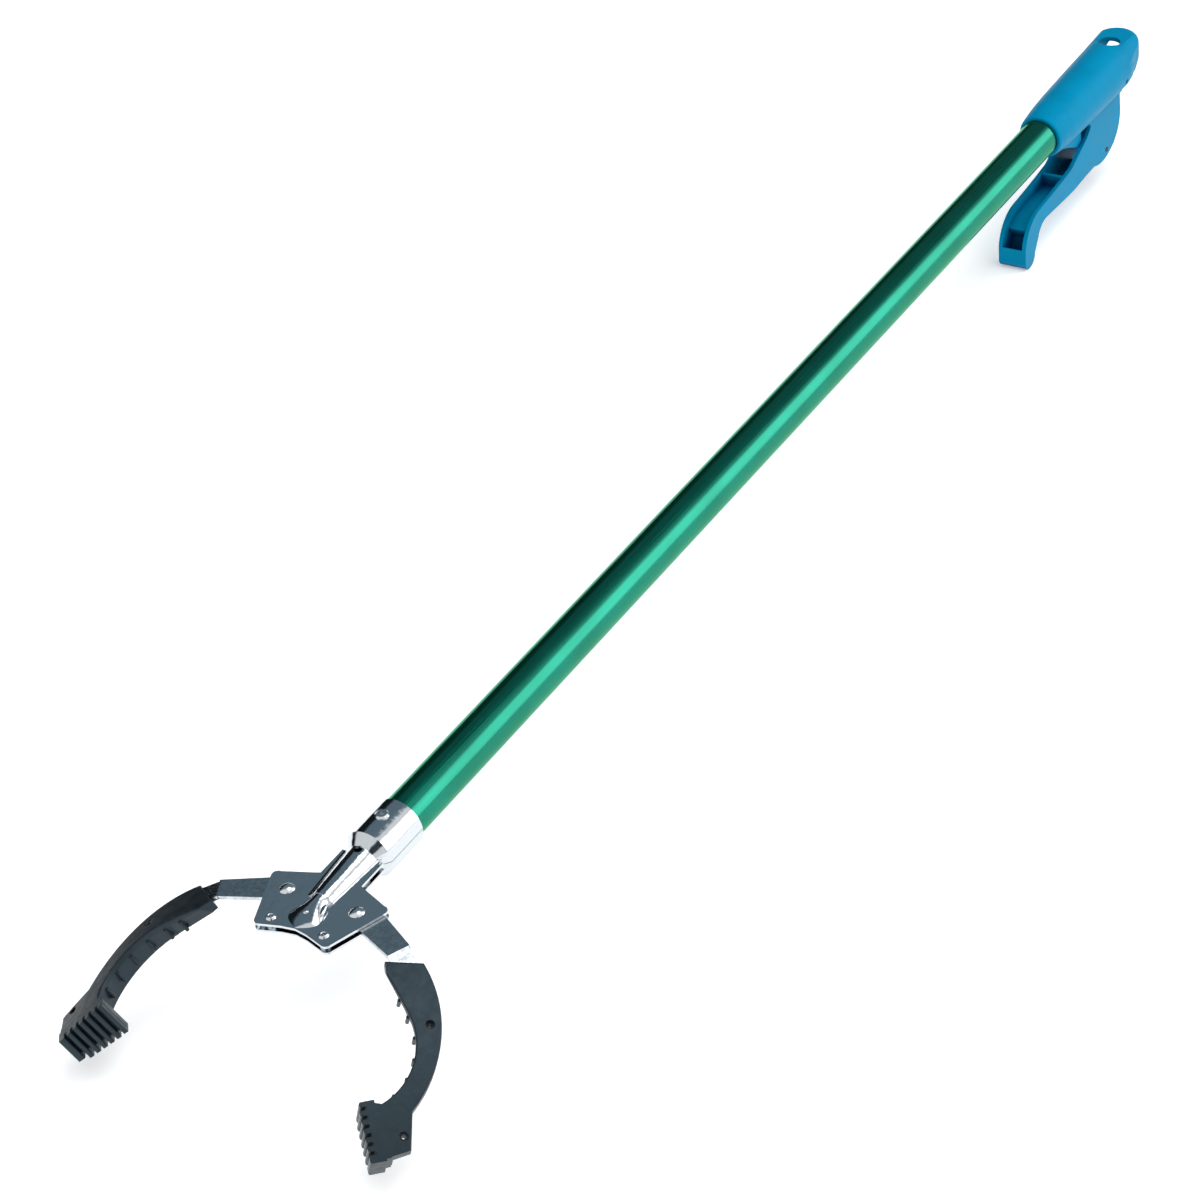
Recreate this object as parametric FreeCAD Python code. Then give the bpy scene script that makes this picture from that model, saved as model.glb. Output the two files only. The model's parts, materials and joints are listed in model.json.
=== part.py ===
"""Reacher grabber: a long pick-up tool with a squeeze trigger, a pull rod and two curved fingers.

Lengths are in millimetres.  The model is laid out on the tube's axis first:
  x = 0 at the ferrule's mouth, +X towards the handle, z = 0 on the tube's axis, +Z up,
  and is then moved so that the origin is on the floor under the middle of the whole tool.
"""
import FreeCAD, Part
import math
import os

os.makedirs("parts", exist_ok=True)
Vec = FreeCAD.Vector

# ---------------------------------------------------------------- driving dimensions
TUBE_R = 11.1              # 22.2 mm (7/8 in) aluminium tube
TUBE_WALL = 0.9
MOUTH_X = 650.0            # front rim of the handle
TUBE_FRONT_X = -23.0
TUBE_REAR_X = 690.0

SHEET = 1.25               # sheet steel of the two claw plates
PLATE_GAP = 1.2            # half of the gap between the plates
PLATE_Z = PLATE_GAP + SHEET
FERRULE_R = 12.6
FERRULE_REAR = -24.5       # where the ferrule ends and the shoulder begins
SHOULDER_END = -29.5
NECK_ROOT = (-29.5, 8.4, 8.4)        # the neck's half-round: x, half width and height at its root,
NECK_NARROW = (-61.0, 6.5, 6.5)      # at its narrow end,
NECK_WAIST = (-66.0, 6.2, 6.1)       # then the closed nose: its waist,
NECK_BULGE = (-73.3, 9.6, 4.8)       # its broad low part,
NECK_TIP = (-80.6, 1.4, 2.6)         # and its tip at the plate's edge
FOOT_R = 3.5               # hollow round where it stands on the plate
FLANGE_W = 11.3            # half width of the neck's flat flanges
PEEP_X, PEEP_R = -31.1, 1.9          # small round hole in the neck's top, beside the shoulder

FERRULE_RIVET_X = -11.0
FERRULE_RIVET_R = 1.6
FERRULE_RIVET_HEAD_R = 3.4
RIVET_SHANK_R = 2.5
RIVET_HEAD_R = 3.8
RIVET_HEAD_H = 1.7
EYELET_R = 1.5             # small hollow rivets: shank,
EYELET_BORE_R = 0.85       # and the hole through it
BUSH_R = 4.0

PIVOT_X, PIVOT_Y = -60.9, 19.2       # finger pivots (the right one at -PIVOT_Y)
CORNER_X, CORNER_Y = -79.4, 14.5     # corner rivets
ARM_T = 1.0                # half thickness of the steel arms
ARM_ANGLE = 116.9          # direction of the left arm in plan, from +X
BEND_P = 32.0              # distance from the pivot to the arm's bend line
BEND_DEG = 27.8            # how far the fingers are bent down
TAIL_SWING = 21.5          # the tail stands this far before and after square to the rod
STROKE = 8.69              # travel of the pull rod
PIN_ARM = STROKE / (2.0 * math.tan(math.radians(TAIL_SWING)))
PIN_Y = PIVOT_Y - PIN_ARM            # crosshead pins
PIN_X = PIVOT_X - PIN_ARM * math.tan(math.radians(TAIL_SWING))
PIN_R = 1.5
SLOT_GAP = 0.3             # clearance each side of a pin in its slot

ROD_R = 2.5
TRIGGER_PIVOT = (716.8, -42.6)       # x, z of the trigger's hinge pin
DRAW_PIN = (733.2, -4.6)             # x, z of the pin that pulls the rod
DRAW_DROP = 5.1            # how far the draw pin sinks in the yoke's slot
TRIGGER_W = 8.6            # half width over the trigger's cheeks
CHEEK_T = 2.4
SLOT_W = 9.1               # half width of the slot in the handle's underside
WEB_W = 5.9                # half width over the handle's web, between the trigger's cheeks
WEB_T = 2.0

PLAN = Vec(0, 0, 1)


# ---------------------------------------------------------------- helpers
def wire(points):
    """Closed wire: each entry is a point, or (via, end) for an arc through via to end."""
    edges = []
    here = points[0]
    for step in points[1:] + [points[0]]:
        if isinstance(step[0], (tuple, list)):
            via, end = step
            edges.append(Part.Arc(Vec(*here), Vec(*via), Vec(*end)).toShape())
            here = end
        else:
            if (Vec(*step) - Vec(*here)).Length > 1e-6:
                edges.append(Part.makeLine(Vec(*here), Vec(*step)))
            here = step
    return Part.Wire(edges)


def plan(points):
    """Outline points given as (x, y), or ((x, y), (x, y)) for an arc, lifted to z = 0."""
    return [tuple((a[0], a[1], 0) for a in p) if isinstance(p[0], tuple) else (p[0], p[1], 0)
            for p in points]


def side(points):
    """Outline points given as (x, z), or pairs for an arc, in the plane y = 0."""
    return [tuple((a[0], 0, a[1]) for a in p) if isinstance(p[0], tuple) else (p[0], 0, p[1])
            for p in points]


def slab(points, low, high):
    """Plan outline made into a plate between two heights."""
    face = Part.Face(wire(plan(points)))
    face.translate(Vec(0, 0, low))
    return face.extrude(Vec(0, 0, high - low))


def cheek(points, low, high):
    """Side outline made into a plate between two values of y."""
    face = Part.Face(wire(side(points)))
    face.translate(Vec(0, low, 0))
    return face.extrude(Vec(0, high - low, 0))


def box(x0, x1, y0, y1, z0, z1):
    return Part.makeBox(x1 - x0, y1 - y0, z1 - z0, Vec(x0, y0, z0))


def rod_x(radius, x0, x1, y=0.0, z=0.0):
    return Part.makeCylinder(radius, x1 - x0, Vec(x0, y, z), Vec(1, 0, 0))


def rod_y(radius, y0, y1, x, z):
    return Part.makeCylinder(radius, y1 - y0, Vec(x, y0, z), Vec(0, 1, 0))


def rod_z(radius, z0, z1, x, y):
    return Part.makeCylinder(radius, z1 - z0, Vec(x, y, z0), Vec(0, 0, 1))


def turned(profile):
    """Solid of revolution about the tube's axis from (x, r) points."""
    face = Part.Face(wire([(x, 0, r) for x, r in profile]))
    return face.revolve(Vec(0, 0, 0), Vec(1, 0, 0), 360)


def mirrored(shape):
    """The same piece on the other side of the tool."""
    return shape.mirror(Vec(0, 0, 0), Vec(0, 1, 0))


def joined(shapes):
    first = shapes[0]
    return first.multiFuse(shapes[1:]).removeSplitter() if len(shapes) > 1 else first


def rounded(shape, radius, keep):
    """Fillet the edges that keep(edge) picks, or leave the shape as it is if that fails."""
    edges = [e for e in shape.Edges if keep(e)]
    try:
        result = shape.makeFillet(radius, edges)
        return result if result.isValid() and result.Volume > 0 else shape
    except Exception:
        return shape


def write_all(shapes):
    """Move every piece so that the origin is on the floor under the tool's middle, and write it."""
    whole = Part.makeCompound(list(shapes.values())).optimalBoundingBox(False)
    shift = Vec(-(whole.XMin + whole.XMax) / 2, 0, -whole.ZMin)
    print("shift %.4f %.4f" % (shift.x, shift.z))
    for name, shape in shapes.items():
        placed = shape.copy()
        placed.translate(shift)
        placed.exportStep("parts/%s.step" % name)
        b = placed.BoundBox
        print("%-22s %8.1f mm3  solids %d valid %s  x %.1f..%.1f y %.1f..%.1f z %.1f..%.1f" % (
            name, placed.Volume, len(placed.Solids), placed.isValid(),
            b.XMin, b.XMax, b.YMin, b.YMax, b.ZMin, b.ZMax))


# ---------------------------------------------------------------- tube
def make_tube():
    shell = rod_x(TUBE_R, TUBE_FRONT_X, TUBE_REAR_X)
    shell = shell.cut(rod_x(TUBE_R - TUBE_WALL, TUBE_FRONT_X, TUBE_REAR_X))
    for sign in (1, -1):
        z0, z1 = sorted((sign * 5.0, sign * 15.0))
        shell = shell.cut(rod_z(FERRULE_RIVET_R, z0, z1, FERRULE_RIVET_X, 0))
    return shell


def make_ferrule_rivets():
    """Two blind rivets, one above and one below, through the ferrule and the tube's wall."""
    pieces = []
    for sign in (1, -1):
        profile = [(0.0, 8.6), (2.6, 8.6), (2.6, 9.6), (FERRULE_RIVET_R, 10.2),
                   (FERRULE_RIVET_R, FERRULE_R - 0.4), (FERRULE_RIVET_HEAD_R, FERRULE_R - 0.4),
                   (FERRULE_RIVET_HEAD_R, FERRULE_R + 0.3),
                   (2.6, FERRULE_R + 0.9), (1.2, FERRULE_R + 0.9), (1.0, FERRULE_R - 1.0),
                   (0.0, FERRULE_R - 1.0)]
        face = Part.Face(wire([(r, 0, sign * z) for r, z in profile]))
        rivet = face.revolve(Vec(0, 0, 0), Vec(0, 0, 1), 360)
        rivet.translate(Vec(FERRULE_RIVET_X, 0, 0))
        pieces.append(rivet)
    return Part.makeCompound(pieces)


# ---------------------------------------------------------------- claw plates
WING = [(-46.0, FLANGE_W), (-47.2, 14.2), (-52.6, 28.6), ((-53.6, 30.9), (-56.0, 31.5)), (-57.6, 31.0),
        (-83.2, 20.9), ((-85.2, 19.3), (-85.2, 16.9)), (-82.3, 7.0), (-81.2, 0.0)]


def plate_outline():
    """Whole butterfly outline: the left half and its mirror image."""
    left = [(SHOULDER_END + 0.5, FLANGE_W)] + WING
    right = []
    here = left[-1]
    points = [p[-1] if isinstance(p[0], tuple) else p for p in left]
    for i in range(len(left) - 1, 0, -1):
        step = left[i]
        to = (points[i - 1][0], -points[i - 1][1])
        if isinstance(step[0], tuple):
            right.append(((step[0][0], -step[0][1]), to))
        else:
            right.append(to)
    return left + right


def half_ellipse(x, width, height):
    """Closed upper half of an ellipse, or of a circle, across the tool at x."""
    rise = Vec(x, 0, height)
    if width == height:
        curve = Part.Circle(Vec(x, 0, 0), Vec(1, 0, 0), width)
    elif width > height:
        curve = Part.Ellipse(Vec(x, width, 0), rise, Vec(x, 0, 0))
    else:
        curve = Part.Ellipse(rise, Vec(x, width, 0), Vec(x, 0, 0))
    whole = curve.toShape()
    upper = Part.Face(Part.Wire([whole])).common(box(x - 1, x + 1, -width - 1, width + 1, 0, height + 1))
    return upper.Faces[0].OuterWire


def lofted(sections, straight=False):
    """Solid through half-ellipses, with straight lines or a smooth run between them."""
    return Part.makeLoft([half_ellipse(*section) for section in sections], True, straight)


def nose_solid():
    """Filled closed nose in front of the neck's half-round."""
    x, width, height = NECK_NARROW
    root = (x + 1.0, width - 0.2, height - 0.2)
    return lofted([root, NECK_WAIST, NECK_BULGE, NECK_TIP])


def neck_cavity():
    """Hollow inside the half-round and its nose."""
    outer = (NECK_ROOT, NECK_NARROW, NECK_WAIST, NECK_BULGE)
    sections = [(x, width - SHEET, height - SHEET) for x, width, height in outer]
    x, width, height = NECK_TIP
    return lofted(sections + [(x + 2.0 * SHEET, 0.3, height - SHEET)], True)


def filleted_section(x, radius):
    """The neck's half-round at x, with the hollow feet by which it stands on the flat of the plate."""
    centre_z = PLATE_Z + FOOT_R
    centre_y = math.sqrt((radius + FOOT_R) ** 2 - centre_z ** 2)
    slope = math.atan2(centre_z, centre_y)
    middle = math.radians(225) + slope / 2
    low = Vec(x, centre_y, PLATE_Z - 0.6)
    foot = Vec(x, centre_y, PLATE_Z)
    hollow = Vec(x, centre_y + FOOT_R * math.cos(middle), centre_z + FOOT_R * math.sin(middle))
    touch = Vec(x, radius * math.cos(slope), radius * math.sin(slope))
    other = [Vec(x, -v.y, v.z) for v in (low, foot, hollow, touch)]
    edges = [Part.makeLine(other[0], low), Part.makeLine(low, foot), Part.Arc(foot, hollow, touch).toShape(),
             Part.Arc(touch, Vec(x, 0, radius), other[3]).toShape(),
             Part.Arc(other[3], other[2], other[1]).toShape(), Part.makeLine(other[1], other[0])]
    return Part.Wire(edges)


def neck_feet():
    """Half-round of the neck with its feet, where it runs between the flat wings."""
    ends = [filleted_section(x, radius) for x, radius, _ in (NECK_ROOT, NECK_NARROW)]
    return Part.makeLoft(ends, True, True)


def shoulder_solid(grow):
    """Filled cone between the ferrule and the neck."""
    big, small = FERRULE_R - grow, NECK_ROOT[1] - grow
    return Part.makeCone(big, small, FERRULE_REAR - SHOULDER_END, Vec(FERRULE_REAR, 0, 0), Vec(-1, 0, 0))


def make_top_plate():
    upper = box(-200, 50, -60, 60, 0, 60)
    flat = slab(plate_outline(), PLATE_GAP, PLATE_Z)
    ferrule = rod_x(FERRULE_R, FERRULE_REAR, 0.0).common(upper)
    cone = shoulder_solid(0.0).common(upper)
    outer = joined([flat, ferrule, cone, neck_feet(), nose_solid()])
    inner_ferrule = rod_x(TUBE_R, FERRULE_REAR + 1.2, 1.0)
    cavity = joined([inner_ferrule, shoulder_solid(SHEET), neck_cavity(),
                     rod_x(FERRULE_R - SHEET - 1.0, FERRULE_REAR - 0.5, FERRULE_REAR + 1.5)])
    shell = outer.cut(cavity)
    # the two halves meet on the ferrule's seam, and stand apart over the arms
    shell = shell.cut(box(-200, 50, -60, 60, -1, 0.15))
    shell = shell.cut(box(-200, SHOULDER_END - 2.0, -60, 60, -1, PLATE_GAP))
    for sign in (1, -1):
        shell = shell.cut(rod_z(RIVET_SHANK_R, -1, 20, PIVOT_X, sign * PIVOT_Y))
        shell = shell.cut(rod_z(EYELET_R, -1, 20, CORNER_X, sign * CORNER_Y))
    shell = shell.cut(rod_z(FERRULE_RIVET_R, 5, 20, FERRULE_RIVET_X, 0))
    shell = shell.cut(rod_z(FERRULE_RIVET_HEAD_R, FERRULE_R - 0.4, 20, FERRULE_RIVET_X, 0))
    return shell.cut(rod_z(PEEP_R, 3, 20, PEEP_X, 0))


def make_pivot_rivets():
    """Two big domed rivets that the arms turn on."""
    pieces = []
    for sign in (1, -1):
        shank = rod_z(RIVET_SHANK_R, -PLATE_Z, PLATE_Z, PIVOT_X, sign * PIVOT_Y)
        dome_r = (RIVET_HEAD_R ** 2 + RIVET_HEAD_H ** 2) / (2 * RIVET_HEAD_H)
        heads = []
        for up in (1, -1):
            middle = Vec(PIVOT_X, sign * PIVOT_Y, up * (PLATE_Z + RIVET_HEAD_H - dome_r))
            ball = Part.makeSphere(dome_r, middle)
            z0, z1 = sorted((up * PLATE_Z, up * (PLATE_Z + 3.0)))
            heads.append(ball.common(rod_z(RIVET_HEAD_R + 1, z0, z1, PIVOT_X, sign * PIVOT_Y)))
        pieces.append(joined([shank] + heads))
    return Part.makeCompound(pieces)


def make_pivot_bushes():
    pieces = []
    for sign in (1, -1):
        bush = rod_z(BUSH_R, -PLATE_GAP, PLATE_GAP, PIVOT_X, sign * PIVOT_Y)
        pieces.append(bush.cut(rod_z(RIVET_SHANK_R, -5, 5, PIVOT_X, sign * PIVOT_Y)))
    return Part.makeCompound(pieces)


def make_corner_rivets():
    """Two small hollow rivets at the plates' far corners."""
    pieces = []
    for sign in (1, -1):
        shank = rod_z(EYELET_R, -PLATE_Z, PLATE_Z, CORNER_X, sign * CORNER_Y)
        heads = [Part.makeCone(2.5, 2.0, 0.7, Vec(CORNER_X, sign * CORNER_Y, up * PLATE_Z), Vec(0, 0, up))
                 for up in (1, -1)]
        body = joined([shank] + heads)
        pieces.append(body.cut(rod_z(EYELET_BORE_R, -9, 9, CORNER_X, sign * CORNER_Y)))
    return Part.makeCompound(pieces)


def make_corner_spacers():
    pieces = []
    for sign in (1, -1):
        ring = rod_z(3.0, -PLATE_GAP, PLATE_GAP, CORNER_X, sign * CORNER_Y)
        pieces.append(ring.cut(rod_z(EYELET_R, -5, 5, CORNER_X, sign * CORNER_Y)))
    return Part.makeCompound(pieces)


# ---------------------------------------------------------------- arms and finger covers
# The left finger is laid out flat in its own frame: p runs out along the arm from the pivot,
# q runs across it towards the claw's middle.  Past the bend line everything is turned down,
# and the finger is arched a little along p, so its top is part of a large cylinder.
ARCH_R, ARCH_P, ARCH_H = 250.0, 69.0, 2.7
COVER_TOP = 1.5            # skin of the cover above the arm's middle
COVER_ROOT = (42.6, -9.9)
OUTER_VIA = (79.8, 3.1)
KINK = (99.1, 27.6)
TIP_OUT = (113.4, 36.1)
TIP_END = (111.0, 51.0)
HEEL = (85.9, 43.6)        # inner corner where the gripping pad begins
INNER_END = (90.2, 38.0)
INNER_VIA = (82.0, 18.4)
INNER_START = (62.0, 8.1)
RIB_COUNT = 7              # ribs of the gripping pad
RIB_PITCH = 3.84
RIB_W = 2.3
RIB_OUT = 3.2              # how far the ribs stand out from the pad's block
PAD_DEEP = -13.6
RIDGE_R, RIDGE_LOW, RIDGE_HIGH = 0.9, -5.2, 0.8      # cross ridges on the finger's inner side
COVER_RIVETS = [(69.0, 2.2, -5.2, 2.4), (106.8, 36.2, -3.6, 0.6)]    # p, q and the lower and upper ends
COVER_RIVET_R = 2.0
COVER_RIVET_BORE_R = 1.0


def circle_of(a, b, c):
    """Centre and radius of the circle through three points."""
    ring = Part.Arc(Vec(a[0], a[1], 0), Vec(b[0], b[1], 0), Vec(c[0], c[1], 0)).toShape().Curve
    return (ring.Center.x, ring.Center.y), ring.Radius


OUTER_C, OUTER_R = circle_of(COVER_ROOT, OUTER_VIA, KINK)
INNER_C, INNER_R = circle_of(INNER_START, INNER_VIA, INNER_END)


def on_circle(centre, radius, degrees):
    a = math.radians(degrees)
    return (centre[0] + radius * math.cos(a), centre[1] + radius * math.sin(a))


def place_flat(shape):
    """From the arm's own flat frame to the left pivot."""
    placed = shape.copy()
    placed.rotate(Vec(0, 0, 0), PLAN, ARM_ANGLE)
    placed.translate(Vec(PIVOT_X, PIVOT_Y, 0))
    return placed


def bend_down(shape):
    """Turn a piece that lies past the bend line down about that line."""
    bent = shape.copy()
    bent.rotate(Vec(BEND_P, 0, 0), Vec(0, 1, 0), BEND_DEG)
    return bent


def arched(shape, rise):
    """What lies below the finger's arch, raised by rise."""
    drum = Part.makeCylinder(ARCH_R + rise, 160, Vec(ARCH_P, -60, ARCH_H - ARCH_R), Vec(0, 1, 0))
    return shape.common(drum)


def core_outline(inset=2.4):
    """Steel strip inside the cover: follows the finger and stops in its tip."""
    outer, inner = OUTER_R - inset, INNER_R + inset
    a0, a1 = -84.0, -23.0
    b0, b1 = -85.0, -8.0
    return [(BEND_P, -8.0), on_circle(OUTER_C, outer, a0 - 6.0),
            (on_circle(OUTER_C, outer, (a0 + a1) / 2), on_circle(OUTER_C, outer, a1)),
            (108.4, 35.4), (107.0, 40.6), on_circle(INNER_C, inner, b1),
            (on_circle(INNER_C, inner, (b0 + b1) / 2), on_circle(INNER_C, inner, b0)),
            (44.0, 4.0), (BEND_P, 2.0)]


def core_strip():
    strip = slab(core_outline(), -12.0, 12.0)
    return arched(strip, ARM_T).cut(arched(slab(core_outline(), -13.0, 13.0), -ARM_T))


def make_left_arm():
    root = slab([(5.0, -9.4), (BEND_P, -9.0), (BEND_P, 2.0), (11.0, 3.9), (0.0, 7.2)], -ARM_T, ARM_T)
    boss = rod_z(7.2, -ARM_T, ARM_T, 0, 0)
    elbow = rod_y(ARM_T, -9.0, 2.0, BEND_P, 0)
    strip = core_strip()
    for p, q, _, _ in COVER_RIVETS:
        strip = strip.cut(rod_z(COVER_RIVET_R, -20, 20, p, q))
    arm = joined([root, boss, elbow, bend_down(strip)])
    # the tail is stepped to half thickness and runs over the crosshead
    rest = 270.0 - TAIL_SWING - ARM_ANGLE
    slot_in = PIN_ARM - SLOT_GAP
    slot_out = PIN_ARM / math.cos(math.radians(TAIL_SWING)) + SLOT_GAP
    slot_r = PIN_R + SLOT_GAP
    tail = box(0, slot_out + 0.3, -3.3, 3.3, 0.05, ARM_T).fuse(rod_z(3.3, 0.05, ARM_T, slot_out + 0.3, 0))
    slot = joined([box(slot_in, slot_out, -slot_r, slot_r, -2, 2), rod_z(slot_r, -2, 2, slot_in, 0),
                   rod_z(slot_r, -2, 2, slot_out, 0)])
    for piece in (tail, slot):
        piece.rotate(Vec(0, 0, 0), PLAN, rest)
    arm = joined([arm, tail]).cut(slot).cut(rod_z(BUSH_R + 0.05, -3, 3, 0, 0))
    return place_flat(arm)


def cover_outline():
    """Top face of the finger cover, flat."""
    return [COVER_ROOT, (OUTER_VIA, KINK), TIP_OUT, TIP_END, HEEL, INNER_END,
            (INNER_VIA, INNER_START), (51.3, 7.4), (39.8, 7.0), (33.6, 4.4)]


def pad_ribs(deep):
    """Ribs of the gripping pad, standing out of its block and running through its depth."""
    dx, dy = TIP_END[0] - HEEL[0], TIP_END[1] - HEEL[1]
    angle = math.degrees(math.atan2(dy, dx))
    ribs = []
    for i in range(RIB_COUNT):
        start = 0.2 + RIB_PITCH * i
        last = i == RIB_COUNT - 1
        out = 2.8 if i == 0 else RIB_OUT
        low = deep - (0.0 if last else 1.6)
        wide = RIB_W + (1.2 if last else 0.0)
        rib = box(start, start + wide, -4.0, out, low, 12.0)
        rib = rounded(rib, 0.9, lambda e: e.CenterOfMass.y > out - 0.01 and e.CenterOfMass.z < 10)
        rib.rotate(Vec(0, 0, 0), PLAN, angle)
        rib.translate(Vec(HEEL[0], HEEL[1], 0))
        ribs.append(rib)
    return ribs


def inner_ridges():
    """Low cross ridges along the inner side of the finger."""
    places = [on_circle(INNER_C, INNER_R, a) for a in (-86, -68, -50, -33, -16)]
    return [rod_z(RIDGE_R, RIDGE_LOW, RIDGE_HIGH, p, q) for p, q in [(52.0, 7.4)] + places]


def underside_wedge():
    """Everything below the finger's underside, which falls away towards the pad."""
    wedge = box(20, 130, -40, 80, -40, 0)
    wedge.rotate(Vec(50, 0, 0), Vec(0, 1, 0), 5.2)
    wedge.translate(Vec(0, 0, -4.9))
    return wedge


def make_left_cover():
    finger = slab(cover_outline(), -14.0, 12.0).cut(underside_wedge())
    # outer lower edge: a cone about the finger's own centre takes the corner off
    ring = Part.makeCylinder(OUTER_R + 30, 12, Vec(*OUTER_C, -14.0))
    cone = Part.makeCone(OUTER_R - 7.0, OUTER_R, 12.0, Vec(*OUTER_C, -14.0))
    sector = slab([(30, -30), (92, -30), (140, 16), (97.0, 30.0), (86, 34), (30, 34)], -15, 0)
    finger = finger.cut(ring.cut(cone).common(sector))
    # inner side: a cone and, towards the root, a slope lean the wall under the finger
    lean = Part.makeCone(INNER_R + 2.6, INNER_R, 12.0, Vec(*INNER_C, -11.0))
    slope = box(30, 58, 0, 20, -30, 0)
    slope.rotate(Vec(0, 0, 0), Vec(1, 0, 0), -13)
    slope.rotate(Vec(0, 0, 0), PLAN, 2.5)
    slope.translate(Vec(0, 5.1, 1.0))
    finger = finger.cut(lean).cut(slope)
    # the fingertip is shallow on its outer side and carries the deep pad on its inner side
    tip_side = slab([(91.0, 24.0), (125.0, 24.0), (125.0, 44.5), (110.0, 43.8), (98.0, 39.5)], -20, -4.6)
    finger = finger.cut(tip_side)
    block = slab([HEEL, TIP_END, (112.4, 44.6), (97.5, 39.5), INNER_END], PAD_DEEP, 3.0)
    ramp = box(-5, 60, -40, 40, -20, 0)
    ramp.rotate(Vec(0, 0, 0), Vec(0, 1, 0), -5.0)
    ramp.translate(Vec(HEEL[0], HEEL[1], PAD_DEEP))
    block = block.cut(ramp)
    cover = joined([finger, block] + pad_ribs(PAD_DEEP) + inner_ridges())
    cover = arched(cover, COVER_TOP)
    cover = rounded(cover, 0.7, lambda e: e.Length > 9 and on_arch(e))
    cover = cover.cut(core_strip())
    for p, q, _, _ in COVER_RIVETS:
        cover = cover.cut(rod_z(COVER_RIVET_R, -30, 30, p, q))
    cover = bend_down(cover)
    # the mouth of the cover stays clear of the arm's elbow
    cover = cover.cut(rod_y(ARM_T + 0.2, -9.4, 2.4, BEND_P, 0))
    return place_flat(cover)


def on_arch(edge):
    """Whether both ends of an edge lie on the finger's arched top."""
    for t in (edge.FirstParameter, edge.LastParameter):
        v = edge.valueAt(t)
        if abs(math.hypot(v.x - ARCH_P, v.z - (ARCH_H - ARCH_R)) - (ARCH_R + COVER_TOP)) > 0.01:
            return False
    return True


def make_left_cover_rivets():
    """Two hollow rivets through the cover and the steel strip in it."""
    pieces = []
    for p, q, low, high in COVER_RIVETS:
        tube = rod_z(COVER_RIVET_R, low, high, p, q).cut(rod_z(COVER_RIVET_BORE_R, -20, 20, p, q))
        pieces.append(place_flat(bend_down(tube)))
    return Part.makeCompound(pieces)


# ---------------------------------------------------------------- crosshead, rod and spring
def make_crosshead():
    """Hub on the rod's end with a thin bar under the two tails."""
    hub = rod_x(3.7, -58.5, -44.0)
    bar = slab([(-58.0, -3.5), (-58.0, 3.5), (PIN_X + 2.4, PIN_Y + 2.2), (PIN_X - 2.4, PIN_Y + 2.2),
                (PIN_X - 2.4, -PIN_Y - 2.2), (PIN_X + 2.4, -PIN_Y - 2.2)], -1.05, -0.1)
    head = joined([hub, bar])
    head = head.cut(rod_x(ROD_R, -50.0, 0.0))
    for sign in (1, -1):
        head = head.cut(rod_z(PIN_R, -3, 3, PIN_X, sign * PIN_Y))
    return head


def make_crosshead_pins():
    return Part.makeCompound([rod_z(PIN_R, -1.1, 1.05, PIN_X, sign * PIN_Y) for sign in (1, -1)])


def make_pull_rod():
    return rod_x(ROD_R, -50.0, DRAW_PIN[0] - 2.6)


def make_front_guide():
    return rod_x(TUBE_R - TUBE_WALL, -5.0, 7.0).cut(rod_x(ROD_R + 0.06, -6.0, 8.0))


SPRING_START, SPRING_END = 556.0, 600.0
SPRING_R, WIRE_R, SPRING_TURNS = 6.2, 0.7, 9


def make_spring_seat():
    return rod_x(TUBE_R - TUBE_WALL, SPRING_END, SPRING_END + 12).cut(rod_x(ROD_R + 0.06, 590, 620))


def make_spring_collar():
    collar = turned([(SPRING_START - 8, 0), (SPRING_START - 8, 5.5), (SPRING_START - 3, 8.6),
                     (SPRING_START, 8.6), (SPRING_START, 0)])
    return collar.cut(rod_x(ROD_R, 500, 600))


def make_return_spring():
    length = SPRING_END - SPRING_START - 2 * WIRE_R
    helix = Part.makeHelix(length / SPRING_TURNS, length, SPRING_R)
    circle = Part.Wire([Part.makeCircle(WIRE_R, Vec(SPRING_R, 0, 0), Vec(0, 1, 0.07))])
    coil = Part.Wire(helix.Edges).makePipeShell([circle], True, True)
    coil.rotate(Vec(0, 0, 0), Vec(0, 1, 0), 90)
    coil.translate(Vec(SPRING_START + WIRE_R, 0, 0))
    return coil


def make_rod_yoke():
    """End fitting on the rod: a hub, and a plate with an upright slot for the draw pin."""
    x, z = DRAW_PIN
    plate = cheek([(x - 5.5, 3.8), (x + 5.5, 3.8), (x + 5.5, -15.0), (x - 5.5, -15.0)], -2.4, 2.4)
    hub = rod_x(4.2, x - 8.5, x - 2.6)
    fork = joined([plate, hub]).cut(rod_x(ROD_R, 700, x - 2.6))
    slot_r = PIN_R + SLOT_GAP
    top, low = z + 0.4, z - DRAW_DROP - 0.4
    slot = joined([box(x - slot_r, x + slot_r, -5, 5, low, top), rod_y(slot_r, -5, 5, x, top),
                   rod_y(slot_r, -5, 5, x, low)])
    return fork.cut(slot)


# ---------------------------------------------------------------- handle
GRIP_END, GRIP_END_R = 738.0, 16.2
GRIP = [(MOUTH_X, 12.6), (651.5, 13.3), (656.0, 13.9), (666.0, 14.7), (680.0, 15.3), (706.0, 15.8),
        (GRIP_END, GRIP_END_R)]
DRUM_END = 732.6           # the high part of the hollow inside ends here
WALL = 2.6
LOOP_X, LOOP_R = 750.5, 14.0         # half-round end of the handle, in plan
LOOP_TOP, LOOP_LOW = 13.8, -4.0
CREASE_Z = -13.2
CREASE_W = 10.6
HOLE_X, HOLE_R = 742.0, 7.0
PIVOT_PIN_R = 1.5
LUG_W = 5.6


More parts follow.
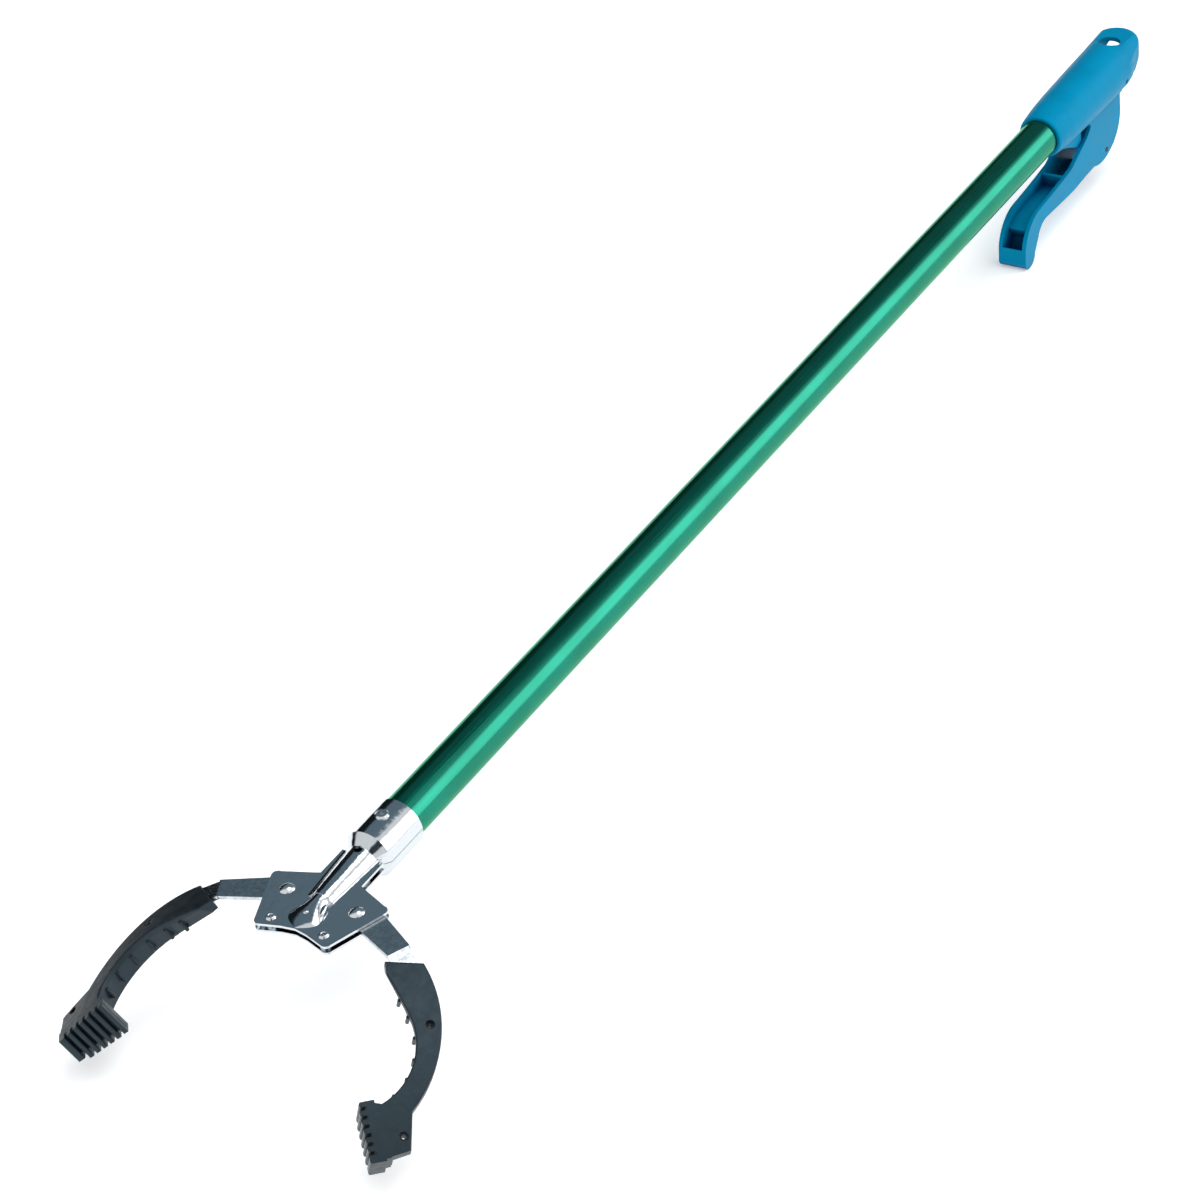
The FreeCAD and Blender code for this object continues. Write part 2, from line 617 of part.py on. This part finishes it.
def make_handle():
    grip = turned([(MOUTH_X, 0)] + GRIP + [(743.0, 15.6), (746.0, 13.4), (746.0, 0)])
    sides = box(692.0, 741.0, -CREASE_W, CREASE_W, CREASE_Z, 0)
    loop = slab([(728.0, -15.6), (738.0, -15.6), (LOOP_X, -LOOP_R), ((LOOP_X + LOOP_R, 0), (LOOP_X, LOOP_R)),
                 (738.0, 15.6), (728.0, 15.6)], LOOP_LOW, LOOP_TOP)
    loop = rounded(loop, 4.5, lambda e: abs(e.CenterOfMass.z - LOOP_TOP) < 0.1 and e.CenterOfMass.x > 739)
    loop = loop.common(turned([(728.0, 0), (728.0, 16.0), (GRIP_END, GRIP_END_R), (766.0, 16.9), (766.0, 0)]))
    body = joined([grip, sides, loop])
    # the underside is cut off level, and slopes up to the loop at the back
    body = body.cut(box(664.0, 800.0, -30, 30, -40, CREASE_Z))
    body = body.cut(cheek([(735.5, -20.0), (735.5, CREASE_Z), (741.0, -8.0), (749.5, -2.5), (754.0, 1.0),
                           (758.0, 5.5), (790.0, 5.5), (790.0, -20.0)], -30, 30))
    # a web of two walls runs down inside the trigger's channel
    web = cheek([(652.5, -8.0), (655.1, -12.0), (661.8, -13.4), (674.9, -19.2), (TUBE_REAR_X, -27.2),
                 (TUBE_REAR_X, -8.0)], -WEB_W, WEB_W)
    body = joined([body, web])
    body = body.cut(rod_x(TUBE_R, MOUTH_X - 1, TUBE_REAR_X))
    body = body.cut(box(661.0, TUBE_REAR_X, WEB_T - WEB_W, WEB_W - WEB_T, -40, -13.4))
    for sign in (1, -1):
        y0, y1 = sorted((sign * WEB_W, sign * SLOT_W))
        body = body.cut(box(664.0, TUBE_REAR_X, y0, y1, -40, -13.0))
    # hollow shell behind the tube, open underneath
    drum = rod_x(13.0, TUBE_REAR_X, DRUM_END).common(box(600, 800, -SLOT_W, SLOT_W, -20, 20))
    slot = box(TUBE_REAR_X, DRUM_END, -SLOT_W, SLOT_W, -40, 0)
    rear_end = LOOP_X + LOOP_R - WALL - 0.6
    rear = slab([(DRUM_END - 1, -SLOT_W), (LOOP_X, -SLOT_W), ((rear_end, 0), (LOOP_X, SLOT_W)),
                 (DRUM_END - 1, SLOT_W)], -30, LOOP_TOP - WALL)
    body = body.cut(joined([drum, slot, rear]))
    px, pz = TRIGGER_PIVOT
    lug = cheek([(702.5, 14.0), (702.5, -12.0), (px - 3.4, pz), ((px, pz - 3.4), (px + 3.4, pz)),
                 (723.5, -12.0), (723.5, 14.0)], -LUG_W, LUG_W)
    body = joined([body, lug])
    body = body.cut(rod_x(ROD_R + 0.35, 695.0, 730.0))
    body = body.cut(rod_y(PIVOT_PIN_R, -20, 20, *TRIGGER_PIVOT))
    for sign in (1, -1):
        y0, y1 = sorted((sign * 8.0, sign * 20.0))
        body = body.cut(rod_y(1.5, y0, y1, *DRAW_PIN))
    return body.cut(rod_z(HOLE_R, 0, 30, HOLE_X, 0))


# ---------------------------------------------------------------- trigger
def trigger_outline():
    return [(697.4, -17.2), (692.4, -21.5), (685.1, -24.5), (671.0, -30.6), ((640.0, -33.4), (628.0, -34.0)),
            ((614.2, -40.6), (608.6, -50.4)), (607.9, -57.6), ((608.9, -62.4), (613.4, -63.9)),
            ((617.6, -62.0), (620.0, -57.6)),
            (625.2, -50.4), ((629.6, -45.4), (638.0, -43.6)), (655.0, -44.8), (672.0, -45.8), (690.0, -45.0),
            (700.0, -45.0), ((711.5, -47.3), (722.0, -44.9)), ((733.0, -36.4), (736.8, -23.0)),
            (737.0, -16.0), (738.2, -6.0), ((734.0, -0.2), (728.6, -3.4)), (701.0, -7.0)]


def make_trigger():
    solid = cheek(trigger_outline(), -TRIGGER_W, TRIGGER_W)
    inner = TRIGGER_W - CHEEK_T
    # the channel opens towards the tube: a high floor along the lever, a deep pocket at its end
    channel = cheek([(690.0, 0.0), (690.0, -42.8), (671.0, -43.6), (667.0, -43.4), (667.0, -40.0),
                     (640.0, -38.9), (626.0, -39.6), (617.6, -43.0), (622.8, -50.6), (617.8, -60.2),
                     (613.5, -61.6), (610.0, -60.2), (610.2, -52.0), (604.0, -46.0), (600.0, 0.0)],
                    -inner, inner)
    hollow = cheek([(690.0, 0.0), (690.0, -42.8), (700.0, -42.8), (702.0, -52.0), (760.0, -52.0),
                    (760.0, 0.0)], -inner, inner)
    rib = cheek([(661.2, -29.3), (663.2, -29.3), (665.0, -40.4), (663.0, -40.4)], -inner, inner)
    body = joined([solid.cut(channel).cut(hollow), rib.common(solid)])
    body = body.cut(rod_y(PIVOT_PIN_R + 0.05, -20, 20, *TRIGGER_PIVOT))
    return body.cut(rod_y(PIN_R, -20, 20, *DRAW_PIN))


def make_trigger_pin():
    return rod_y(PIVOT_PIN_R, -TRIGGER_W - 0.2, TRIGGER_W + 0.2, *TRIGGER_PIVOT)


def make_draw_pin():
    return rod_y(PIN_R, -TRIGGER_W, TRIGGER_W, *DRAW_PIN)


# ---------------------------------------------------------------- the whole tool
top_plate = make_top_plate()
left_arm = make_left_arm()
left_cover = make_left_cover()
left_rivets = make_left_cover_rivets()

write_all({
    "tube": make_tube(),
    "top_claw_plate": top_plate,
    "bottom_claw_plate": top_plate.mirror(Vec(0, 0, 0), Vec(0, 0, 1)),
    "ferrule_rivets": make_ferrule_rivets(),
    "pivot_rivets": make_pivot_rivets(),
    "pivot_bushes": make_pivot_bushes(),
    "corner_rivets": make_corner_rivets(),
    "corner_spacers": make_corner_spacers(),
    "left_arm": left_arm,
    "right_arm": mirrored(left_arm),
    "left_finger_cover": left_cover,
    "right_finger_cover": mirrored(left_cover),
    "left_cover_rivets": left_rivets,
    "right_cover_rivets": mirrored(left_rivets),
    "crosshead": make_crosshead(),
    "crosshead_pins": make_crosshead_pins(),
    "pull_rod": make_pull_rod(),
    "front_rod_guide": make_front_guide(),
    "spring_seat": make_spring_seat(),
    "spring_collar": make_spring_collar(),
    "return_spring": make_return_spring(),
    "rod_yoke": make_rod_yoke(),
    "handle_body": make_handle(),
    "trigger": make_trigger(),
    "trigger_pivot_pin": make_trigger_pin(),
    "draw_pin": make_draw_pin(),
})
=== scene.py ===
"""Looks of the reacher grabber: finishes, small pressed and moulded details, floor, light and camera.

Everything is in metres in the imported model's frame.  Details are placed on the tool's own axis in
millimetres: x from the ferrule's mouth towards the handle, y to the left finger's side, z up from the
tube's axis.
"""

import json
import math

import bmesh
import bpy
from mathutils import Matrix, Vector


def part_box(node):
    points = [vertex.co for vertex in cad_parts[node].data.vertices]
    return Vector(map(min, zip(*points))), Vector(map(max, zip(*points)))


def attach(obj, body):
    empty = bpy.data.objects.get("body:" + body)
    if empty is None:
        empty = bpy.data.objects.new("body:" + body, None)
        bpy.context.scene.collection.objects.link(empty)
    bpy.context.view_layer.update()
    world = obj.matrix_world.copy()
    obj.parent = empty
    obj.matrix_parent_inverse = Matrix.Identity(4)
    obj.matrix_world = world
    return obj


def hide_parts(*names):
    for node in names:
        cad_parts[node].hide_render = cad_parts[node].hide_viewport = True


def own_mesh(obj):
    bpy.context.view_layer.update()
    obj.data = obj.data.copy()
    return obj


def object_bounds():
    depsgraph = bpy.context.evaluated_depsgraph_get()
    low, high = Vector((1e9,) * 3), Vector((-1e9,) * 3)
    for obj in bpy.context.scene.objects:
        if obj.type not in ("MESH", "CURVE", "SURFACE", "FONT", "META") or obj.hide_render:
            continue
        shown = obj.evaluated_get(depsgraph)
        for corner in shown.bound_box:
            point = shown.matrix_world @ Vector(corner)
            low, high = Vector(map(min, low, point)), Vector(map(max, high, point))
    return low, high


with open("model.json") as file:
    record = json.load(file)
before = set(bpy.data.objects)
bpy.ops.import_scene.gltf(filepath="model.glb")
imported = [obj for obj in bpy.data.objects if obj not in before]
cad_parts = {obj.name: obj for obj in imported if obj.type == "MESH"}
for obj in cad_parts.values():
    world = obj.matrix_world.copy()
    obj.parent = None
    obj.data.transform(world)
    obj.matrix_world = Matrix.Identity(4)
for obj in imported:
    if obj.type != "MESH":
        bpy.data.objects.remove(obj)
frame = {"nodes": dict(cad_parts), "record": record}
CAD_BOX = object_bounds()
NODES = frame["nodes"]

MM = 0.001
MOUTH_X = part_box("top_claw_plate")[1].x
AXIS_Z = (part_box("tube")[0].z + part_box("tube")[1].z) / 2

# ---------------------------------------------------------------- camera
AZIMUTH = math.radians(-52.4515)
ELEVATION = math.radians(36.4995)
ROLL = math.radians(9.0975)
LENS = 103.3               # mm
SENSOR_WIDTH = 36.0        # mm
NEAREST, FURTHEST = 0.05, 100.0
DISTANCE = 1.769           # from the middle of the tool's box
AIM_RIGHT = -0.0732        # the view's centre stands off the box's middle by these
AIM_UP = -0.0521

# ---------------------------------------------------------------- rounded edges
WELD_DISTANCE = 1e-6
ROUND_SEGMENTS = 2
SHARP_ANGLE = math.radians(32.0)
PLATE_ROUND, ARM_ROUND = 0.00035, 0.0003
ROUNDED = {
    "top_claw_plate": PLATE_ROUND,
    "bottom_claw_plate": PLATE_ROUND,
    "left_arm": ARM_ROUND,
    "right_arm": ARM_ROUND,
}

# ---------------------------------------------------------------- details, in mm on the tool's axis
RIM_X, RIM_Y, RIM_Z = -79.4, 14.5, 3.05        # a rim stands at both signs of y and z
RIM_RADIUS, RIM_WIRE = 1.5, 0.45
RIM_AROUND, RIM_ACROSS = 40, 12
BEAD_START = Vector((-63.9, -5.2, 4.35))
BEAD_END = Vector((-70.8, -7.0, 3.55))
BEAD_RADIUS = 0.95
BEAD_TIP_RADIUS = 0.02                         # at its two ends
BEAD_STEPS, BEAD_AROUND = 12, 16
DIMPLE_MIDDLE = (-72.0, 0.0, 4.2)
DIMPLE_RADIUS = 1.5
DIMPLE_AROUND, DIMPLE_RINGS = 24, 12

# ---------------------------------------------------------------- floor and light
FLOOR_HALF = 30.0
WHITE = (1.0, 1.0, 1.0, 1.0)
PAPER = (0.9, 0.9, 0.9, 1.0)
ROOM = (0.85, 0.85, 0.85, 1.0)
# what stands round the tool: its direction, the cosines where it starts and is full, and its colour
SURROUNDINGS = [
    ((0.63, 0.63, 0.46), 0.50, 0.62, (0.125, 0.180, 0.215, 1.0)),        # slate-grey wall
    ((0.30, 0.94, 0.12), 0.75, 0.86, (0.008, 0.012, 0.015, 1.0)),        # its black end, at the left
    ((-0.62, -0.50, 0.60), 0.955, 0.975, (0.03, 0.04, 0.05, 1.0)),       # black screen before the claw
    ((0.637, -0.69, 0.36), 0.93, 0.965, (3.3, 3.3, 3.3, 1.0)),           # softbox at the right
    ((0.27, -0.23, 0.94), 0.945, 0.975, (2.6, 2.6, 2.6, 1.0)),           # softbox under the ceiling
]


# ---------------------------------------------------------------- helpers
def at(x, y, z):
    """The frame's place of a point given on the tool's axis in millimetres."""
    return Vector((MOUTH_X + x * MM, y * MM, AXIS_Z + z * MM))


def placed(name, data):
    """A new object in the scene."""
    made = bpy.data.objects.new(name, data)
    bpy.context.collection.objects.link(made)
    return made


def add(tree, kind, inputs=None, **settings):
    """A new shader node; inputs maps its sockets to values or to other nodes' sockets."""
    node = tree.nodes.new("ShaderNode" + kind)
    for key, value in settings.items():
        setattr(node, key, value)
    for key, value in (inputs or {}).items():
        if isinstance(value, bpy.types.NodeSocket):
            tree.links.new(value, node.inputs[key])
        else:
            node.inputs[key].default_value = value
    return node


def material(name, **sockets):
    """A Principled material whose uniform values sit on the shader's own sockets."""
    made = bpy.data.materials.new(name)
    made.use_nodes = True
    shader = made.node_tree.nodes["Principled BSDF"]
    for key, value in sockets.items():
        shader.inputs[key.replace("_", " ")].default_value = value
    return made, made.node_tree, shader


def noise(tree, scale, stretch=(1, 1, 1), detail=3.0, rough=0.5):
    """Noise in the piece's own space, with scale counted per metre."""
    place = add(tree, "TexCoord").outputs["Object"]
    pulled = add(tree, "Mapping", {"Vector": place, "Scale": stretch})
    made = add(tree, "TexNoise", {"Vector": pulled.outputs[0], "Scale": scale, "Detail": detail,
                                  "Roughness": rough})
    return made.outputs[0]


def ranged(tree, value, low, high, start=0.3, end=0.7):
    """The value's range from start to end, turned into low to high."""
    limits = {"Value": value, "From Min": start, "From Max": end, "To Min": low, "To Max": high}
    return add(tree, "MapRange", limits, interpolation_type="SMOOTHSTEP").outputs[0]


def mixed(tree, share, first, second):
    """A colour between two, by share; 6, 7 and 2 are the colour sockets of the Mix node."""
    return add(tree, "Mix", {0: share, 6: first, 7: second}, data_type="RGBA").outputs[2]


def tinted(tree, pattern, first, second):
    """A colour that goes from the first to the second with the pattern."""
    return mixed(tree, ranged(tree, pattern, low=0.0, high=1.0), (*first, 1.0), (*second, 1.0))


def bumps(tree, shader, *layers, soft=0.0):
    """Bump layers, each a height and its depth in metres, one on the other.

    A soft above 0 rounds the shading of the edges within that radius.
    """
    normal = add(tree, "Bevel", {"Radius": soft}, samples=4).outputs[0] if soft else None
    for height, depth in layers:
        made = add(tree, "Bump", {"Height": height, "Distance": depth, "Strength": 1.0})
        if normal is not None:
            tree.links.new(normal, made.inputs["Normal"])
        normal = made.outputs[0]
    tree.links.new(normal, shader.inputs["Normal"])


def edges(tree, radius):
    """From 0 on flat faces to 1 on convex or concave corners, within that radius."""
    soft = add(tree, "Bevel", {"Radius": radius}, samples=4).outputs[0]
    plain = add(tree, "NewGeometry").outputs["Normal"]
    alike = add(tree, "VectorMath", {0: soft, 1: plain}, operation="DOT_PRODUCT").outputs["Value"]
    return ranged(tree, alike, low=1.0, high=0.0, start=0.82, end=0.995)


def with_painted_shade(tree, colour, painted_shade, reach):
    """The colour, going over to a painted shade colour where other walls stand closer than reach all round:
    painted shade in pockets and recesses.
    """
    openness = add(tree, "AmbientOcclusion", {"Distance": reach}, samples=8).outputs["AO"]
    lit = ranged(tree, openness, low=0.0, high=1.0, start=0.22, end=0.62)
    return mixed(tree, lit, (*painted_shade, 1.0), colour)


def link(tree, value, shader, socket):
    """Feeds a value into one of a shader's sockets."""
    tree.links.new(value, shader.inputs[socket])


def metal(name, dark, light, smooth, rough, depth, **pattern):
    """A bare metal in which one pattern of noise drives colour, roughness and relief together."""
    made, tree, shader = material(name, Metallic=1.0)
    marks = noise(tree, **pattern)
    link(tree, tinted(tree, marks, dark, light), shader, "Base Color")
    link(tree, ranged(tree, marks, smooth, rough), shader, "Roughness")
    bumps(tree, shader, (marks, depth))
    return made


# ---------------------------------------------------------------- finishes
def green_anodised():
    """Drawn aluminium tube, dyed green: fine lines along it under a clear hard film."""
    made, tree, shader = material("green_anodised", Metallic=0.95, Specular_Tint=(0.1, 0.75, 0.5, 1.0),
                                  Coat_Weight=0.35, Coat_Roughness=0.14)
    cloud = noise(tree, scale=30.0, detail=4.0)
    lines = noise(tree, scale=1.0, stretch=(9.0, 1900.0, 1900.0), detail=4.0)
    link(tree, tinted(tree, cloud, (0.003, 0.185, 0.115), (0.004, 0.215, 0.140)), shader, "Base Color")
    link(tree, ranged(tree, lines, low=0.16, high=0.28), shader, "Roughness")
    bumps(tree, shader, (lines, 4e-6))
    return made


def bright_plating():
    """Nickel-chrome on pressed sheet: mirror-bright, slightly rippled by the press."""
    made, tree, shader = material("bright_plating", Metallic=1.0)
    ripples = noise(tree, scale=170.0, detail=2.0)
    specks = noise(tree, scale=2600.0, detail=5.0)
    link(tree, tinted(tree, specks, (0.60, 0.64, 0.68), (0.70, 0.73, 0.76)), shader, "Base Color")
    link(tree, ranged(tree, specks, low=0.05, high=0.14), shader, "Roughness")
    bumps(tree, shader, (ripples, 1.2e-4), (specks, 1e-6))
    return made


def plated_arm():
    """Plating on plain strip steel: mottled, and slightly rippled."""
    made, tree, shader = material("plated_arm", Metallic=1.0)
    mottle = noise(tree, scale=420.0, detail=6.0, rough=0.65)
    ripples = noise(tree, scale=150.0, detail=2.0)
    link(tree, tinted(tree, mottle, (0.42, 0.47, 0.51), (0.66, 0.70, 0.73)), shader, "Base Color")
    link(tree, ranged(tree, mottle, low=0.32, high=0.12), shader, "Roughness")
    bumps(tree, shader, (ripples, 8e-5), (mottle, 1.5e-5))
    return made


def polished_rivet():
    """Bright rivet steel with fine specks."""
    return metal("polished_rivet", (0.66, 0.70, 0.74), (0.80, 0.83, 0.85), smooth=0.14, rough=0.26,
                 depth=6e-6, scale=1500.0, detail=5.0)


def black_steel_with_painted_shade():
    """Near-black steel of the small rivets in the fingers and of the trigger's hinge pin; on the rivets the
    near-black is painted shade of the recessed holes they sit in.
    """
    return metal("black_steel_with_painted_shade", (0.012, 0.014, 0.017), (0.024, 0.028, 0.033), smooth=0.3, rough=0.45,
                 depth=6e-6, scale=1800.0, detail=4.0)


def drawn_rod():
    """Drawn steel of the rod and its fittings, with lines along it."""
    return metal("drawn_rod", (0.50, 0.51, 0.53), (0.66, 0.67, 0.69), smooth=0.2, rough=0.4,
                 depth=5e-6, scale=1.0, stretch=(20.0, 1500.0, 1500.0), detail=4.0)


def spring_wire():
    """Darker drawn wire, mottled evenly because it is coiled."""
    return metal("spring_wire", (0.34, 0.35, 0.37), (0.48, 0.49, 0.51), smooth=0.2, rough=0.4,
                 depth=5e-6, scale=1.0, stretch=(900.0, 900.0, 900.0), detail=4.0)


def turned_brass():
    """Brass turned about an upright axis, with rings round it."""
    return metal("turned_brass", (0.62, 0.42, 0.16), (0.74, 0.54, 0.24), smooth=0.22, rough=0.38,
                 depth=5e-6, scale=1.0, stretch=(300.0, 300.0, 6000.0), detail=2.0)


def finger_plastic():
    """Tough near-black plastic with a fine spark-eroded grain and faint flow marks."""
    made, tree, shader = material("finger_plastic", IOR=1.52, Specular_Tint=(0.62, 0.85, 1.0, 1.0))
    grain = noise(tree, scale=2400.0, detail=3.0)
    flow = noise(tree, scale=260.0, detail=4.0)
    near_edges = edges(tree, 0.0008)
    body = tinted(tree, flow, (0.0028, 0.0055, 0.0080), (0.0044, 0.0085, 0.0122))
    # a lighter colour along edges and corners
    link(tree, mixed(tree, near_edges, body, (0.010, 0.016, 0.020, 1.0)), shader, "Base Color")
    link(tree, ranged(tree, flow, low=0.30, high=0.42), shader, "Roughness")
    bumps(tree, shader, (flow, 1.6e-4), (grain, 1.5e-5), soft=0.0007)
    return made


def blue_plastic():
    """Bright blue moulded plastic, satin, with slight sinks and a fine grain, and painted shade in its
    pockets and recesses.
    """
    made, tree, shader = material("blue_plastic", IOR=1.42, Specular_IOR_Level=0.12,
                                  Specular_Tint=(0.1, 0.75, 1.0, 1.0))
    grain = noise(tree, scale=2200.0, detail=2.0)
    sinks = noise(tree, scale=55.0, detail=3.0)
    skin = tinted(tree, sinks, (0.0, 0.192, 0.350), (0.0, 0.214, 0.392))
    # painted shade: the blue goes over to a dark blue in pockets and recesses, such as the trigger's pocket
    link(tree, with_painted_shade(tree, skin, painted_shade=(0.0, 0.055, 0.19), reach=0.014), shader, "Base Color")
    link(tree, ranged(tree, sinks, low=0.36, high=0.46), shader, "Roughness")
    bumps(tree, shader, (sinks, 1.5e-4), (grain, 8e-6), soft=0.0009)
    return made


def natural_plastic():
    """Uncoloured moulded plastic of the guides inside the tube."""
    made, tree, shader = material("natural_plastic", IOR=1.5, Subsurface_Weight=0.1, Subsurface_Scale=0.002)
    cloud = noise(tree, scale=300.0, detail=3.0)
    link(tree, tinted(tree, cloud, (0.62, 0.61, 0.56), (0.70, 0.69, 0.64)), shader, "Base Color")
    link(tree, ranged(tree, cloud, low=0.4, high=0.55), shader, "Roughness")
    bumps(tree, shader, (cloud, 2e-5))
    return made


FINISHES = {
    "green_tube": green_anodised(),
    "plated_steel": bright_plating(),
    "arm_steel": plated_arm(),
    "rivet_steel": polished_rivet(),
    "dark_steel": black_steel_with_painted_shade(),
    "bush_brass": turned_brass(),
    "finger_plastic": finger_plastic(),
    "rod_steel": drawn_rod(),
    "guide_plastic": natural_plastic(),
    "spring_steel": spring_wire(),
    "blue_plastic": blue_plastic(),
}
for part in frame["record"]["subparts"]:
    slots = NODES[part["node"]].data.materials
    slots.clear()
    slots.append(FINISHES[part["material_slot"]])


# ---------------------------------------------------------------- rounded edges of the plates and arms
def soften(name, width):
    """Breaks a CAD node's sharp edges with a small round."""
    node = NODES[name]
    weld = node.modifiers.new("weld", "WELD")
    weld.merge_threshold = WELD_DISTANCE
    rounding = node.modifiers.new("round", "BEVEL")
    rounding.width = width
    rounding.segments = ROUND_SEGMENTS
    rounding.limit_method = "ANGLE"
    rounding.angle_limit = SHARP_ANGLE
    rounding.harden_normals = True
    node.modifiers.new("even", "WEIGHTED_NORMAL")


for name, width in ROUNDED.items():
    soften(name, width)


# ---------------------------------------------------------------- return spring
def shortening_spring():
    """The return spring: a copy of its mesh, hung on the frame in place of the CAD node."""
    coil = placed("spring_coil", NODES["return_spring"].data.copy())
    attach(coil, "frame")
    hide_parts("return_spring")
    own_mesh(coil)


shortening_spring()


# ---------------------------------------------------------------- pressed and rolled details
def meshed(name, build, finish):
    """A detail piece on the frame, made by build(bm) in millimetres about the tool's axis."""
    bm = bmesh.new()
    build(bm)
    for vertex in bm.verts:
        vertex.co = at(*vertex.co)
    bmesh.ops.recalc_face_normals(bm, faces=bm.faces)
    for face in bm.faces:
        face.smooth = True
    mesh = bpy.data.meshes.new(name)
    bm.to_mesh(mesh)
    bm.free()
    mesh.materials.append(FINISHES[finish])
    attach(placed(name, mesh), "frame")


def skinned(bm, first, second):
    """Joins two closed rows of points with faces."""
    for j in range(len(first)):
        after = (j + 1) % len(first)
        bm.faces.new((first[j], second[j], second[after], first[after]))


def ring(bm, x, y, z):
    """A rim: a level ring of round wire about a point."""
    rows = []
    for i in range(RIM_AROUND):
        turn = 2 * math.pi * i / RIM_AROUND
        row = []
        for j in range(RIM_ACROSS):
            tilt = 2 * math.pi * j / RIM_ACROSS
            reach = RIM_RADIUS + RIM_WIRE * math.cos(tilt)
            place = (x + reach * math.cos(turn), y + reach * math.sin(turn), z + RIM_WIRE * math.sin(tilt))
            row.append(bm.verts.new(place))
        rows.append(row)
    for i in range(RIM_AROUND):
        skinned(bm, rows[i], rows[(i + 1) % RIM_AROUND])


def rolled_rims(bm):
    """Rims of the two hollow corner rivets, on both faces of the claw."""
    for side in (1, -1):
        for face in (1, -1):
            ring(bm, RIM_X, side * RIM_Y, face * RIM_Z)


def pressed_bead(bm):
    """Raised round-ended bar pressed into the right flank of the neck's nose."""
    along = BEAD_END - BEAD_START
    forward = along.normalized()
    across = forward.cross(Vector((0, 0, 1))).normalized()
    lift = across.cross(forward)
    rows = []
    for i in range(BEAD_STEPS + 1):
        share = i / BEAD_STEPS
        swell = math.sqrt(max(0.0, 1.0 - (2 * share - 1) ** 4)) * BEAD_RADIUS + BEAD_TIP_RADIUS
        place = BEAD_START + along * share
        row = []
        for j in range(BEAD_AROUND):
            turn = 2 * math.pi * j / BEAD_AROUND
            row.append(bm.verts.new(place + (across * math.cos(turn) + lift * math.sin(turn)) * swell))
        rows.append(row)
    for first, second in zip(rows, rows[1:]):
        skinned(bm, first, second)
    bm.faces.new(rows[0])
    bm.faces.new(reversed(rows[-1]))


def pressed_dimple(bm):
    """Small bright dome in the middle of the nose."""
    bmesh.ops.create_uvsphere(bm, u_segments=DIMPLE_AROUND, v_segments=DIMPLE_RINGS, radius=DIMPLE_RADIUS,
                              matrix=Matrix.Translation(DIMPLE_MIDDLE))


meshed("corner_rims", rolled_rims, "rivet_steel")
meshed("neck_bead", pressed_bead, "plated_steel")
meshed("neck_dimple", pressed_dimple, "plated_steel")


# ---------------------------------------------------------------- floor, light and camera
def floor():
    """White paper, with a little light of its own."""
    mesh = bpy.data.meshes.new("floor")
    corners = [(x * FLOOR_HALF, y * FLOOR_HALF, 0) for x, y in ((-1, -1), (1, -1), (1, 1), (-1, 1))]
    mesh.from_pydata(corners, [], [(0, 1, 2, 3)])
    paper, tree, shader = material("floor_paper", Base_Color=PAPER, Roughness=0.8,
                                   Emission_Color=WHITE, Emission_Strength=0.3)
    grain = noise(tree, scale=900.0, detail=4.0)
    bumps(tree, shader, (grain, 1e-5))
    mesh.materials.append(paper)
    placed("floor", mesh)


def studio():
    """An even white room with the things of SURROUNDINGS in it."""
    world = bpy.data.worlds.new("studio")
    bpy.context.scene.world = world
    world.use_nodes = True
    tree = world.node_tree
    ray = add(tree, "TexCoord").outputs["Generated"]
    seen_there = ROOM
    for side, start, full, colour in SURROUNDINGS:
        near = add(tree, "VectorMath", {0: ray, 1: Vector(side).normalized()}, operation="DOT_PRODUCT")
        share = ranged(tree, near.outputs["Value"], low=0.0, high=1.0, start=start, end=full)
        seen_there = mixed(tree, share, seen_there, colour)
    # the room itself stays out of view: behind the floor's edge there is plain white
    in_view = add(tree, "LightPath").outputs["Is Camera Ray"]
    link(tree, mixed(tree, in_view, seen_there, WHITE), tree.nodes["Background"], "Color")


def sun(name, direction, strength, softness):
    """Even light from a direction, with soft shadows; softness is its width in degrees."""
    light = bpy.data.lights.new(name, "SUN")
    light.energy = strength
    light.angle = math.radians(softness)
    made = placed(name, light)
    made.rotation_mode = "QUATERNION"
    made.rotation_quaternion = (-Vector(direction)).to_track_quat("-Z", "Y")
    made.visible_glossy = False


def camera():
    """Stands DISTANCE from the middle of the tool's box, at AZIMUTH and ELEVATION, turned by ROLL."""
    data = bpy.data.cameras.new("camera")
    data.lens = LENS
    data.sensor_width = SENSOR_WIDTH
    data.clip_start = NEAREST
    data.clip_end = FURTHEST
    made = placed("camera", data)
    back = Vector((math.sin(AZIMUTH) * math.cos(ELEVATION), -math.cos(AZIMUTH) * math.cos(ELEVATION),
                   math.sin(ELEVATION)))
    level = Vector((math.cos(AZIMUTH), math.sin(AZIMUTH), 0))
    steep = back.cross(level)
    right = math.cos(ROLL) * level - math.sin(ROLL) * steep
    up = math.cos(ROLL) * steep + math.sin(ROLL) * level
    middle = (CAD_BOX[0] + CAD_BOX[1]) / 2
    place = middle + back * DISTANCE + right * AIM_RIGHT + up * AIM_UP
    turn = Matrix((right, up, back)).transposed().to_4x4()
    made.matrix_world = Matrix.Translation(place) @ turn
    bpy.context.scene.camera = made


floor()
studio()
sun("top_light", direction=(-0.1, -0.35, 1.0), strength=1.3, softness=60)
camera()
bpy.context.scene.view_settings.view_transform = "Standard"

bpy.context.view_layer.update()
